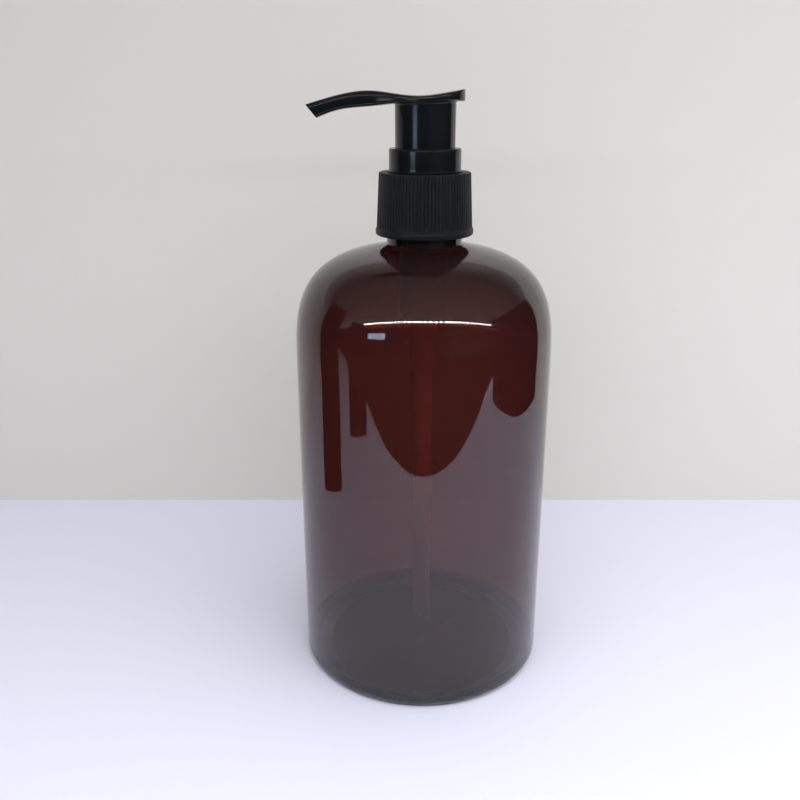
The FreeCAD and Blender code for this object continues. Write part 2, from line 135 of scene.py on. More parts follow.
def meshObject(name, vertices, quads):
    # closes poles and seams by merging coincident points, drops the faces that collapse, and turns the
    # faces outwards by making the enclosed volume positive
    keys = np.round(vertices / mergeMm).astype(np.int64)
    first, inverse = np.unique(keys, axis=0, return_index=True, return_inverse=True)[1:]
    inverse = inverse.reshape(-1)
    vertices, quads = vertices[first] * mm, inverse[quads]
    sameAsNext = quads == np.roll(quads, -1, axis=1)
    whole = quads[~sameAsNext.any(axis=1)]
    pinched = quads[sameAsNext.sum(axis=1) == 1]
    drop = np.argmax(pinched == np.roll(pinched, -1, axis=1), axis=1)
    keep = (drop[:, None] + np.arange(1, 4)) % 4
    triangles = np.take_along_axis(pinched, keep, axis=1)
    a, b, c, d = (vertices[whole[:, k]] for k in range(4))
    volume = np.einsum("ij,ij->", a, np.cross(b, c)) + np.einsum("ij,ij->", a, np.cross(c, d))
    if len(triangles):
        e, f, g = (vertices[triangles[:, k]] for k in range(3))
        volume += np.einsum("ij,ij->", e, np.cross(f, g))
    if volume < 0:
        whole, triangles = whole[:, ::-1], triangles[:, ::-1]
    mesh = bpy.data.meshes.new(name)
    mesh.from_pydata(vertices.tolist(), [], whole.tolist() + triangles.tolist())
    mesh.shade_smooth()
    mesh.update()
    piece = bpy.data.objects.new(name, mesh)
    bpy.context.scene.collection.objects.link(piece)
    return piece


def turnedGrid(outline, columns, wobble=None):
    # outline of (radius, height) carried round Z; wobble(radius, angle, height) adds to the radius
    angle = np.arange(columns) / columns * 2 * np.pi
    radius, height = outline[:, :1], np.repeat(outline[:, 1:], columns, axis=1)
    radius = np.repeat(radius, columns, axis=1)
    if wobble is not None:
        radius = radius + wobble(radius, angle[None], height)
    return np.stack([radius * np.cos(angle), radius * np.sin(angle), height], axis=-1)


def joinPieces(name, pieces):
    # one mesh from several closed shells
    target = bpy.data.meshes.new(name)
    vertices, faces, start = [], [], 0
    for piece in pieces:
        mesh = piece.data
        vertices += [tuple(v.co) for v in mesh.vertices]
        faces += [[start + k for k in p.vertices] for p in mesh.polygons]
        start += len(mesh.vertices)
        bpy.data.objects.remove(piece)
    target.from_pydata(vertices, [], faces)
    target.shade_smooth()
    target.update()
    joined = bpy.data.objects.new(name, target)
    bpy.context.scene.collection.objects.link(joined)
    return joined


# Material helpers.

def linearColour(hexText):
    # sRGB hex to linear
    parts = np.array([int(hexText[i:i + 2], 16) for i in (1, 3, 5)]) / 255
    linear = np.where(parts <= 0.04045, parts / 12.92, ((parts + 0.055) / 1.055)**2.4)
    return (*linear.tolist(), 1.0)


def addNode(tree, kind, settings=None, links=None):
    # settings: attribute names or input names to values; links: input name to (node, output name)
    node = tree.nodes.new(kind)
    for key, value in (settings or {}).items():
        if isinstance(key, str) and hasattr(node, key):
            setattr(node, key, value)
        else:
            node.inputs[key].default_value = value
    for key, (source, output) in (links or {}).items():
        tree.links.new(source.outputs[output], node.inputs[key])
    return node


def newMaterial(name, surface):
    # surface: settings of the Principled shader
    material = bpy.data.materials.new(name)
    material.use_nodes = True
    tree = material.node_tree
    shader = tree.nodes["Principled BSDF"]
    for key, value in surface.items():
        shader.inputs[key].default_value = value
    place = addNode(tree, "ShaderNodeTexCoord")
    return material, tree, shader, place


def perMetre(patternMm):
    # noise scale, in features per metre, from the size of one feature in mm
    return 1 / (patternMm * mm)


# Materials.

# Blown PET tinted amber: clear and glossy under a trace of dust, and its colour deepens with the thickness
# looked through. throughWall is the share of lamp light that each surface lets straight through.
amberPet = {
    "ior": 1.62, "roughness": 0.02, "tint": "#C05A14", "density": 2900.0, "dust": 0.005, "throughWall": 0.74,
    "waveMm": 14.0, "waveDepthMm": 0.12, "seamDegrees": -26.0, "seamMm": 0.35, "seamHeightMm": 0.04,
}


def makeAmberPet():
    material, tree, shader, place = newMaterial("amberBlownPet", {
        "Base Color": (1, 1, 1, 1), "Roughness": amberPet["roughness"], "IOR": amberPet["ior"],
        "Transmission Weight": 1.0 - amberPet["dust"]})
    output = tree.nodes["Material Output"]
    absorb = addNode(tree, "ShaderNodeVolumeAbsorption",
                     {"Color": linearColour(amberPet["tint"]), "Density": amberPet["density"]})
    tree.links.new(absorb.outputs["Volume"], output.inputs["Volume"])
    # slow waves left by blowing, which bend reflections a little
    waves = addNode(tree, "ShaderNodeTexNoise", {"Scale": perMetre(amberPet["waveMm"]), "Detail": 1.0},
                    {"Vector": (place, "Object")})
    bump = addNode(tree, "ShaderNodeBump", {"Strength": 0.25, "Distance": amberPet["waveDepthMm"] * mm},
                   {"Height": (waves, "Fac")})
    # the mould's parting line: a fine raised line where a plane through the axis cuts the wall
    turn = math.radians(amberPet["seamDegrees"])
    facing = (-math.sin(turn), math.cos(turn), 0)
    across = addNode(tree, "ShaderNodeVectorMath", {"operation": "DOT_PRODUCT", 1: facing},
                     {0: (place, "Object")})
    away = addNode(tree, "ShaderNodeMath", {"operation": "ABSOLUTE"}, {0: (across, "Value")})
    line = addNode(tree, "ShaderNodeMapRange", {"From Min": 0.0, "From Max": amberPet["seamMm"] * mm,
                                                "To Min": 1.0, "To Max": 0.0}, {"Value": (away, "Value")})
    seam = addNode(tree, "ShaderNodeBump", {"Strength": 0.35, "Distance": amberPet["seamHeightMm"] * mm},
                   {"Height": (line, "Result"), "Normal": (bump, "Normal")})
    tree.links.new(seam.outputs["Normal"], shader.inputs["Normal"])
    # lamp light passes straight through, so the pump inside is lit
    through = amberPet["throughWall"]
    straight = addNode(tree, "ShaderNodeBsdfTransparent", {"Color": (through, through, through, 1)})
    rays = addNode(tree, "ShaderNodeLightPath")
    mix = addNode(tree, "ShaderNodeMixShader", None,
                  {0: (rays, "Is Shadow Ray"), 1: (shader, "BSDF"), 2: (straight, "BSDF")})
    tree.links.new(mix.outputs["Shader"], output.inputs["Surface"])
    return material


# Injection-moulded polypropylene, polished mould: deep black with soft, slightly waxy highlights.
glossPp = {"colour": "#101314", "roughness": 0.15, "wear": (-0.05, 0.06), "sheen": 0.32, "grainMm": 0.35,
           "grainDepthMm": 0.01, "handlingMm": 5.0}


def makeGlossPp():
    material, tree, shader, place = newMaterial("blackMouldedPpGloss", {
        "Base Color": linearColour(glossPp["colour"]), "Roughness": glossPp["roughness"],
        "IOR": 1.49, "Specular IOR Level": glossPp["sheen"]})
    grain = addNode(tree, "ShaderNodeTexNoise", {"Scale": perMetre(glossPp["grainMm"]), "Detail": 3.0},
                    {"Vector": (place, "Object")})
    bump = addNode(tree, "ShaderNodeBump", {"Strength": 0.15, "Distance": glossPp["grainDepthMm"] * mm},
                   {"Height": (grain, "Fac")})
    tree.links.new(bump.outputs["Normal"], shader.inputs["Normal"])
    # patches polished and dulled by handling
    handling = addNode(tree, "ShaderNodeTexNoise", {"Scale": perMetre(glossPp["handlingMm"]), "Detail": 4.0},
                       {"Vector": (place, "Object")})
    lowest, highest = (glossPp["roughness"] + change for change in glossPp["wear"])
    rough = addNode(tree, "ShaderNodeMapRange", {"To Min": lowest, "To Max": highest},
                    {"Value": (handling, "Fac")})
    tree.links.new(rough.outputs["Result"], shader.inputs["Roughness"])
    return material


# The same plastic from a fine-blasted mould: satin, so the ribs catch broad dull light.
satinPp = {"colour": "#15181B", "roughness": 0.44, "sheen": 0.19, "grainMm": 0.12, "grainDepthMm": 0.01}


def makeSatinPp():
    material, tree, shader, place = newMaterial("blackMouldedPpSatin", {
        "Base Color": linearColour(satinPp["colour"]), "Roughness": satinPp["roughness"],
        "IOR": 1.49, "Specular IOR Level": satinPp["sheen"]})
    grain = addNode(tree, "ShaderNodeTexNoise", {"Scale": perMetre(satinPp["grainMm"]), "Detail": 2.0},
                    {"Vector": (place, "Object")})
    bump = addNode(tree, "ShaderNodeBump", {"Strength": 0.3, "Distance": satinPp["grainDepthMm"] * mm},
                   {"Height": (grain, "Fac")})
    tree.links.new(bump.outputs["Normal"], shader.inputs["Normal"])
    return material


# Undyed moulded polypropylene and extruded polyethylene: milky, and light goes a little way into them.
milkyPlastic = {"naturalPp": ("#D9D8D0", 0.35), "naturalPe": ("#E2E1DC", 0.5)}   # colour and roughness
milkyDepthMm, cloudMm, milkyWear = 1.5, 3.0, 0.08


def makeMilky(name):
    colour, roughness = milkyPlastic[name]
    material, tree, shader, place = newMaterial(name, {
        "Base Color": linearColour(colour), "Roughness": roughness, "IOR": 1.5,
        "Subsurface Weight": 0.35, "Subsurface Scale": milkyDepthMm * mm})
    cloud = addNode(tree, "ShaderNodeTexNoise", {"Scale": perMetre(cloudMm), "Detail": 3.0},
                    {"Vector": (place, "Object")})
    ramp = addNode(tree, "ShaderNodeMapRange",
                   {"To Min": roughness - milkyWear, "To Max": roughness + milkyWear},
                   {"Value": (cloud, "Fac")})
    tree.links.new(ramp.outputs["Result"], shader.inputs["Roughness"])
    return material


# Drawn stainless wire: bright, with fine marks from the die that dull it in patches.
springSteel = {"colour": "#C9C7C2", "roughness": 0.25, "wear": (-0.07, 0.09), "markMm": 0.2}


def makeSpringSteel():
    material, tree, shader, place = newMaterial("drawnStainless", {
        "Base Color": linearColour(springSteel["colour"]), "Metallic": 1.0,
        "Roughness": springSteel["roughness"]})
    marks = addNode(tree, "ShaderNodeTexNoise", {"Scale": perMetre(springSteel["markMm"]), "Detail": 2.0},
                    {"Vector": (place, "Object")})
    lowest, highest = (springSteel["roughness"] + change for change in springSteel["wear"])
    ramp = addNode(tree, "ShaderNodeMapRange", {"To Min": lowest, "To Max": highest},
                   {"Value": (marks, "Fac")})
    tree.links.new(ramp.outputs["Result"], shader.inputs["Roughness"])
    return material


# Ground and polished soda-lime glass: clear with a green cast and faint grinding marks.
ballGlass = {"colour": (0.92, 0.97, 0.95, 1), "roughness": 0.02, "ior": 1.52, "markMm": 0.6,
             "markDepthMm": 0.005}


def makeBallGlass():
    material, tree, shader, place = newMaterial("polishedGlass", {
        "Base Color": ballGlass["colour"], "Roughness": ballGlass["roughness"], "IOR": ballGlass["ior"],
        "Transmission Weight": 1.0})
    marks = addNode(tree, "ShaderNodeTexNoise", {"Scale": perMetre(ballGlass["markMm"]), "Detail": 2.0},
                    {"Vector": (place, "Object")})
    bump = addNode(tree, "ShaderNodeBump", {"Strength": 0.1, "Distance": ballGlass["markDepthMm"] * mm},
                   {"Height": (marks, "Fac")})
    tree.links.new(bump.outputs["Normal"], shader.inputs["Normal"])
    return material


materials = {
    "amber_pet": makeAmberPet(),
    "black_pp_gloss": makeGlossPp(),
    "black_pp_satin": makeSatinPp(),
    "natural_pp": makeMilky("naturalPp"),
    "natural_pe": makeMilky("naturalPe"),
    "spring_steel": makeSpringSteel(),
    "ball_glass": makeBallGlass(),
}


def finishPiece(piece, body, slot, *nodes):
    piece.data.materials.append(materials[slot])
    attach(piece, body)
    if nodes:
        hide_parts(*nodes)
    return piece


print("materials made:", len(materials))


# Bottle.

bottle = {
    "radius": bottleHigh[0], "rim": bottleHigh[2], "wall": 0.9,
    "heel": 3.0, "ringWidth": 5.0, "pushUp": 2.5, "baseThickness": 1.3,
    "wallHeight": 97.9, "shoulderRise": 29.3, "shoulderPower": 3.39, "shoulderSlope": 0.21,
    "finishHeight": 16.76, "finish": 10.85, "bore": 9.55, "neckFillet": 0.48, "rimRound": 0.3,
    "threadPitch": 3.175, "threadTurns": 1.5, "threadHeight": 1.0, "threadBelowRim": 3.0,
    "threadHalfRoot": 0.85, "threadFlank": 0.45, "fadesPerTurn": 12, "threadRows": 56, "columns": 224,
}


def shoulderCurve(neckRadius, sideRadius, rise, steps=56):
    # superellipse: radius falls as cos^(2/n) and height grows as sin^(2/n), leaning up towards the neck
    angle = np.linspace(0, np.pi / 2, steps + 1)
    share = 2 / bottle["shoulderPower"]
    radius = neckRadius + (sideRadius - neckRadius) * np.abs(np.cos(angle))**share
    radius[-1] = neckRadius
    lift = rise * np.sin(angle)**share + bottle["shoulderSlope"] * (sideRadius - radius)
    return np.stack([radius, bottle["wallHeight"] + lift], axis=1)


def domeCurve(footRadius, foot, rise, steps=12):
    # arc of a sphere from the axis down to a ring
    sphere = (footRadius**2 + rise**2) / (2 * rise)
    radius = np.linspace(0, footRadius, steps + 1)
    return np.stack([radius, foot + rise - sphere + np.sqrt(sphere**2 - radius**2)], axis=1)


def threadRidge(angle, height, first, sign=1):
    # trapezoid ridge whose middle climbs one pitch per turn, fading in and out over the last 30 degrees
    pitch, turns = bottle["threadPitch"], bottle["threadTurns"]
    wraps = np.arange(-1, 3)
    along = angle[..., None] / (2 * np.pi) + wraps
    offset = np.abs(height[..., None] - first - along * pitch)
    ridge = np.clip((bottle["threadHalfRoot"] - offset) / bottle["threadFlank"], 0, 1)
    fadeIn = np.clip(along * bottle["fadesPerTurn"], 0, 1)
    fadeOut = np.clip((turns - along) * bottle["fadesPerTurn"], 0, 1)
    return sign * (ridge * bottle["threadHeight"] * (fadeIn * fadeOut)).max(axis=-1)


threadFirst = bottle["rim"] - bottle["threadBelowRim"] - bottle["threadPitch"] * bottle["threadTurns"]


def makeBottle():
    # one outline, up the outside and down the inside, turned round Z; the thread adds to the neck's radius
    b = bottle
    radius, rim = b["radius"], b["rim"]
    ringOuter, innerRadius = radius - b["heel"], radius - b["wall"]
    ringInner = ringOuter - b["ringWidth"]
    neckFoot = rim - b["finishHeight"]
    plainTop = closureLow[2] + 0.3
    outside = roundedOutline([(ringInner, 0), (radius, 0, b["heel"]), (radius, b["wallHeight"] / 2)],
                             arcSteps=12, closed=False)
    outerShoulder = shoulderCurve(b["finish"], radius, b["shoulderRise"])[:-1]
    neckFillet = roundedOutline([tuple(outerShoulder[-3]), (b["finish"], neckFoot, b["neckFillet"]),
                                 (b["finish"], plainTop)], arcSteps=8, closed=False)[1:]
    threadHeights = np.linspace(plainTop + 0.3, rim - 1.4, b["threadRows"])
    threadZone = np.stack([np.full(b["threadRows"], b["finish"]), threadHeights], axis=1)
    mouth = roundedOutline([(b["finish"], rim - 1.0), (b["finish"], rim, b["rimRound"]),
                            (b["bore"], rim, b["rimRound"]), (b["bore"], rim - 4)], arcSteps=5, closed=False)
    innerShoulder = shoulderCurve(b["bore"], innerRadius, b["shoulderRise"] - b["wall"])[::-1]
    inside = roundedOutline([(innerRadius, b["wallHeight"] / 2),
                             (innerRadius, b["baseThickness"], b["heel"] + b["baseThickness"]),
                             (ringInner, b["baseThickness"])], arcSteps=12, closed=False)
    outerDome = domeCurve(ringInner, 0, b["pushUp"])
    innerDome = domeCurve(ringInner, b["baseThickness"], b["pushUp"])[::-1]
    outline = np.concatenate([outerDome[:-1], outside, outerShoulder[:-2], neckFillet, threadZone, mouth,
                              innerShoulder, inside[:-1], innerDome])

    def wobble(r, angle, height):
        onFinish = np.abs(r - b["finish"]) < 1e-6
        return np.where(onFinish, threadRidge(angle + 0 * height, height, threadFirst), 0)

    piece = gridObject("bottleShell", turnedGrid(outline, b["columns"], wobble))
    return finishPiece(piece, "bottle", "amber_pet", "bottle")


makeBottle()
print("bottle made")


# Closure.

closure = {
    "top": closureHigh[2], "bottom": closureLow[2], "beadRadius": closureHigh[0],
    "beadHeight": 1.9, "beadProud": 0.25, "draft": 0.046, "ribs": 84, "ribDepth": 0.38,
    "plate": 1.2, "bore": 12.1, "hole": 10.48, "edgeRound": 0.5, "beadRound": 0.6, "mouthChamfer": 0.5,
    "grooveFadeTop": 0.35, "grooveFadeFoot": 0.3, "longestStep": 0.45, "columnsPerRib": 10,
    "halfGroove": 0.21, "grooveFlank": 0.17,   # shares of one rib's pitch
}


def makeClosure():
    # wall and top plate as one closed outline turned round Z; grooves cut into the radius between the ribs
    c = closure
    foot = c["beadRadius"] - c["beadProud"]
    topRadius = foot - c["draft"] * (c["top"] - c["bottom"])
    beadTop = c["bottom"] + c["beadHeight"]
    ribsFoot = foot - c["draft"] * c["beadHeight"]
    plateBottom = c["top"] - c["plate"]
    outline = roundedOutline([
        (c["hole"], plateBottom), (c["hole"], c["top"], 0.15), (topRadius, c["top"], c["edgeRound"]),
        (ribsFoot, beadTop + 0.05, 0.1), (c["beadRadius"], beadTop, c["beadRound"]),
        (c["beadRadius"], c["bottom"], c["beadRound"]), (c["bore"] + c["mouthChamfer"], c["bottom"]),
        (c["bore"], c["bottom"] + c["mouthChamfer"]), (c["bore"], plateBottom)], arcSteps=6)
    outline = denser(outline, c["longestStep"])

    def wobble(r, angle, height):
        phase = np.abs((angle * c["ribs"] / (2 * np.pi)) % 1 - 0.5)
        groove = np.clip((c["halfGroove"] - phase) / c["grooveFlank"], 0, 1)
        fadeTop = np.clip((c["top"] - height) / c["grooveFadeTop"], 0, 1)
        fadeFoot = np.clip((height - beadTop - 0.15) / c["grooveFadeFoot"], 0, 1)
        outside = (r > c["bore"] + 0.6) & (height > beadTop)
        ribs = -c["ribDepth"] * groove * fadeTop * fadeFoot * outside
        inBore = (np.abs(r - c["bore"]) < 0.02) & (height > c["bottom"] + 0.6) & (height < plateBottom - 0.3)
        inner = threadRidge(angle + 0 * height, height, threadFirst - bottle["threadPitch"] / 2, -1)
        return ribs + np.where(inBore, inner, 0)

    columns = c["ribs"] * c["columnsPerRib"]
    piece = gridObject("ribbedClosure", turnedGrid(outline, columns, wobble), loopRows=True)
    return finishPiece(piece, "closure", "black_pp_satin", "closure")


makeClosure()
print("closure made")


# Collar.

collar = {
    "bottom": collarLow[2], "top": collarHigh[2], "radius": 10.18, "bore": 8.65,
    "flangeRadius": collarHigh[0], "flangeHeight": 0.5, "edgeRound": 0.6,
    "socket": 9.25, "socketDepth": 3.0, "turnGap": 0.05, "longestStep": 0.8, "columns": 192,
}


def makeCollar():
    # one closed outline turned round Z
    c = collar
    flangeBottom = closure["top"] + c["turnGap"]
    ceiling = c["bottom"] + c["socketDepth"]
    outline = roundedOutline([
        (c["socket"], c["bottom"]), (c["radius"], c["bottom"]), (c["radius"], flangeBottom),
        (c["flangeRadius"], flangeBottom), (c["flangeRadius"], flangeBottom + c["flangeHeight"], 0.2),
        (c["radius"], flangeBottom + c["flangeHeight"], 0.1), (c["radius"], c["top"], c["edgeRound"]),
        (c["bore"], c["top"], 0.2), (c["bore"], ceiling), (c["socket"], ceiling)], arcSteps=8)
    piece = gridObject("turnedCollar", turnedGrid(denser(outline, c["longestStep"]), c["columns"]),
                       loopRows=True)
    return finishPiece(piece, "pump", "black_pp_gloss", "collar")


makeCollar()
print("collar made")


# Head.

head = {
    "reach": -headLow[0], "rear": headHigh[0], "skirtFoot": headLow[2],
    "under": 171.11, "skirt": 8.47, "skirtWall": 1.1, "plateHalfWidth": headHigh[1],
    "nozzleHalfWidth": 2.9, "cutBack": 3.0, "cutFrom": 14.0, "channel": 1.15, "channelDepth": 12.0,
    "channelFlat": 1.25, "lipSetBack": 0.12, "skirtDraft": 0.05, "footChamfer": (0.35, 0.25),
    "tuck": (0.4, 0.5),
    "endRound": 0.5, "fillet": 0.4, "stations": 150, "around": 72, "bossRadius": 4.65, "bossBore": 3.25,
    "bossFoot": 158.7, "skirtColumns": 160,
    # heights of the upper and lower edges over the skirt's top, from the tip to the rear, and where they are
    "topAt": (-24, -15, -7.5, -1.0, 5.0), "topHeights": (-0.2, 2.25, 3.35, 2.5, 2.1, 2.8, 3.8),
    "bottomAt": (-29.9, -24, -15, -9.0, 0.0, 8.0),
    "bottomHeights": (-3.8, -2.95, -1.6, -0.8, -0.2, 0.1, 0.5, 0.55),
    # half widths of the nozzle behind its tip and of its flare, where they are, and where the plate is widest
    "widthAt": (-22, -15, -10.5, -6.0), "halfWidths": (3.25, 3.8, 5.0, 7.0), "widestAt": 2.5,
    "rearPower": 2.4,
    # superellipse exponents of the section at the tip, and where they reach the nozzle's root and the plate
    "squareness": (4.0, 4.4, 5.0), "squareAt": (-12, -4),
}


def headTop(x):
    # height of the upper edge along the nozzle: drooping tip, arch, saddle and raised rear
    heights = head["under"] + np.array(head["topHeights"])
    return smoothCurve([-head["reach"], *head["topAt"], head["rear"]], heights, x)


def headBottom(x):
    # height of the lower edge: it follows the arch, then stays level over the skirt
    heights = head["under"] + np.array(head["bottomHeights"])
    return smoothCurve([-head["reach"], *head["bottomAt"], head["rear"]], heights, x)


def headHalfWidth(x):
    # spline of a narrow nozzle that flares into the plate; behind its widest place the plate narrows as
    # the root of 1 - s^p, where s grows from 0 there to 1 at the rear
    wide, widest, last = head["plateHalfWidth"], head["widestAt"], 6.5
    side = smoothCurve([-head["reach"], *head["widthAt"], -1.5, widest, last],
                       [head["nozzleHalfWidth"], *head["halfWidths"], wide - 0.15, wide, wide * 0.94],
                       np.minimum(x, last))
    bend = np.clip((x - widest) / (head["rear"] - widest), 0, 1)
    return np.where(x > widest, wide * np.sqrt(np.clip(1 - bend**head["rearPower"], 0, 1)), side)


def makeHead():
    # blade: superellipse sections |y/a|^n + |z/b|^n = 1 carried along X; skirt and boss: turned outlines
    h = head
    # stations crowd towards both ends, where the outline turns fastest
    turn = np.linspace(0, np.pi, h["stations"])
    middle, half = (h["rear"] - h["reach"]) / 2, (h["rear"] + h["reach"]) / 2
    x = middle - half * np.cos(turn)
    around = np.arange(h["around"]) / h["around"] * 2 * np.pi
    power = 2 / np.interp(x, [-h["reach"], *h["squareAt"]], h["squareness"])[:, None]
    cosine, sine = np.cos(around), np.sin(around)
    across = np.sign(cosine) * np.abs(cosine)**power
    upward = np.sign(sine) * np.abs(sine)**power
    pastRound = np.clip(x - h["rear"] + h["endRound"], 0, None) / h["endRound"]
    endDrop = h["endRound"] * (1 - np.sqrt(np.clip(1 - pastRound**2, 0, 1)))
    top, bottom = headTop(x) - endDrop, headBottom(x) + endDrop
    width = headHalfWidth(x)
    z = ((top + bottom) / 2)[:, None] + ((top - bottom) / 2)[:, None] * upward
    y = width[:, None] * across
    # the tip is cut on a slant: sections near it lean back at the foot
    lean = np.clip((-h["cutFrom"] - x) / (h["reach"] - h["cutFrom"]), 0, 1)[:, None]**2
    share = (top[:, None] - z) / (top - bottom)[:, None]
    station = x[:, None] + lean * share * h["cutBack"] + 0 * z
    outer = np.stack([station, y, z], axis=-1)
    # open end: a rounded lip, then the channel up the nozzle with a closed end
    tipTop, tipBottom = top[0], bottom[0]
    centreZ = (tipTop + tipBottom) / 2
    depth = np.array([h["channelDepth"], h["channelDepth"], 8.0, 4.0, 1.0, 0.25, 0.0])
    size = np.array([0.0, 1.0, 1.0, 1.0, 1.0, 1.03, 1.12]) * h["channel"]
    channelX = -h["reach"] + depth
    rise = np.interp(channelX, x, (top + bottom) / 2) - centreZ
    chanZ = (centreZ + rise)[:, None] + size[:, None] * sine
    chanY = size[:, None] * cosine * h["channelFlat"]
    chanShare = (tipTop - (centreZ + size[:, None] * sine)) / (tipTop - tipBottom)
    fade = (1 - depth / h["channelDepth"])[:, None]
    chanX = channelX[:, None] + chanShare * h["cutBack"] * fade
    channel = np.stack([chanX, chanY, chanZ], axis=-1)
    channel[0] = channel[0].mean(axis=0)
    ringShare = np.array([0.25, 0.6, 0.88])[:, None, None]
    lip = channel[-1] + (outer[0] - channel[-1]) * ringShare
    outer[0] += np.array([h["lipSetBack"], 0, 0])
    shell = np.concatenate([channel, lip, outer])
    blade = gridObject("headBlade", shell)

    columns = h["skirtColumns"]
    angle = np.arange(columns) / columns * 2 * np.pi
    seat = headBottom(h["skirt"] * np.cos(angle))
    rows = np.concatenate([np.linspace(0, 0.9, 20), np.linspace(0.91, 1.0, 14)])[:, None]
    # the skirt's outside widens upwards and meets the blade in a fillet, then tucks into it
    foot = h["skirtFoot"]
    zOut = foot + (seat - foot) * rows
    near = np.clip(1 - (seat - zOut) / h["fillet"], 0, 1)
    rOut = h["skirt"] - h["skirtDraft"] * (1 - rows) + h["fillet"] * (1 - np.sqrt(1 - near**2))
    tuckIn, tuckUp = h["tuck"]
    rOut = np.concatenate([np.full((1, columns), h["skirt"] - h["footChamfer"][0]), rOut,
                           np.full((1, columns), h["skirt"] - tuckIn)])
    zOut = np.concatenate([np.full((1, columns), foot), zOut, (seat + tuckUp)[None]])
    zOut[1] += h["footChamfer"][1]
    rIn = np.full((3, columns), h["skirt"] - h["skirtWall"])
    zIn = np.stack([seat + tuckUp, seat * 0 + (foot + h["under"]) / 2, seat * 0 + foot])
    radius, height = np.concatenate([rOut, rIn]), np.concatenate([zOut, zIn])
    skirtPoints = np.stack([radius * np.cos(angle), radius * np.sin(angle), height], axis=-1)
    skirt = gridObject("headSkirt", skirtPoints, loopRows=True)
    boss = gridObject("headBoss", turnedGrid(np.array([
        (h["bossBore"], h["bossFoot"]), (h["bossRadius"], h["bossFoot"]),
        (h["bossRadius"], h["under"] + tuckUp), (h["bossBore"], h["under"] + tuckUp)]), 64), loopRows=True)
    piece = joinPieces("pumpHead", [blade, skirt, boss])
    return finishPiece(piece, "actuator", "black_pp_gloss", "actuator")


makeHead()
print("head made")


# Spring and dip tube.

spring = {"low": springLow[2], "high": springHigh[2], "wire": 0.45, "mean": 4.6, "turns": 6.5,
          "endTurns": 0.75, "flatTurns": 0.85, "stroke": 11.0, "steps": 420, "sides": 14}


def makeSpring():
    # helix whose first and last turns lie flat, with a round section carried along it
    s = spring
    steps, sides = s["steps"], s["sides"]
    along = np.linspace(0, 1, steps)
    total = s["turns"] + 2 * s["endTurns"]
    angle = along * total * 2 * np.pi
    flat = s["flatTurns"] / total
    length = s["high"] - s["low"]
    oneWire = 2 * s["wire"] / length
    climb = np.interp(along, [0, flat, 1 - flat, 1], [0, oneWire, 1 - oneWire, 1])
    z = s["low"] + s["wire"] + climb * (length - 2 * s["wire"])
    out = np.stack([np.cos(angle), np.sin(angle), 0 * angle], axis=1)
    centre = out * s["mean"] + np.stack([0 * z, 0 * z, z], axis=1)
    forward = np.gradient(centre, axis=0)
    forward /= np.linalg.norm(forward, axis=1)[:, None]
    side = np.cross(forward, out)
    ring = np.arange(sides) / sides * 2 * np.pi
    size = np.full(steps, s["wire"])
    size[[0, -1]] = 0.0
    section = np.cos(ring)[None, :, None] * out[:, None] + np.sin(ring)[None, :, None] * side[:, None]
    tube = centre[:, None] + size[:, None, None] * section
    piece = gridObject("coilSpring", tube)
    finishPiece(piece, "pump", "spring_steel", "spring")
    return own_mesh(piece)


makeSpring()

dipTube = {"low": tubeLow[2], "high": tubeHigh[2], "radius": tubeHigh[0], "bore": 2.0, "cutDegrees": 35,
           "columns": 48}


def makeDipTube():
    # tube whose foot is cut on a slant across X
    t = dipTube
    angle = np.arange(t["columns"]) / t["columns"] * 2 * np.pi
    slope = math.tan(math.radians(t["cutDegrees"]))

    def foot(radius):
        return t["low"] + (t["radius"] - radius * np.cos(angle)) * slope

    radii = np.array([t["radius"]] * 3 + [t["bore"]] * 3)
    feet = np.stack([foot(t["radius"]), 0.5 * (foot(t["radius"]) + t["high"]), 0 * angle + t["high"],
                     0 * angle + t["high"], 0.5 * (foot(t["bore"]) + t["high"]), foot(t["bore"])])
    points = np.stack([radii[:, None] * np.cos(angle), radii[:, None] * np.sin(angle), feet], axis=-1)
    piece = gridObject("suctionTube", points, loopRows=True)
    return finishPiece(piece, "pump", "natural_pe", "dip_tube")


makeDipTube()
print("spring and dip tube made")


# Carried-over CAD nodes.

keptNodes = {"gasket": "natural_pe", "housing": "natural_pp", "stem_guide": "natural_pp",
             "stem": "natural_pp", "piston_seat": "natural_pp", "piston": "natural_pe",
             "spring_seat": "natural_pp", "valve_ball": "ball_glass"}
for node, slot in keptNodes.items():
    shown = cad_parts[node]
    shown.data.materials.clear()
    shown.data.materials.append(materials[slot])
print("CAD nodes finished:", len(keptNodes))


# Stage, light and camera.

# A white shelf compartment: a pale floor and back wall, with its shaded ceiling, its dark open front and a
# row of small lights under the ceiling's front edge shown to reflections only.
stage = {
    "floorHalf": 1.6, "wallY": 0.104, "wallTop": 1.2, "floorColour": "#E4E4F4", "wallColour": "#E6E3DB",
    "roughness": (0.5, 0.65), "world": "#D8D8D8", "worldStrength": 0.45,
}


def stagePlane(name, corners, material):
    mesh = bpy.data.meshes.new(name)
    mesh.from_pydata(corners, [], [tuple(range(len(corners)))])
    mesh.update()
    plane = bpy.data.objects.new(name, mesh)
    bpy.context.scene.collection.objects.link(plane)
    plane.data.materials.append(material)
    return plane


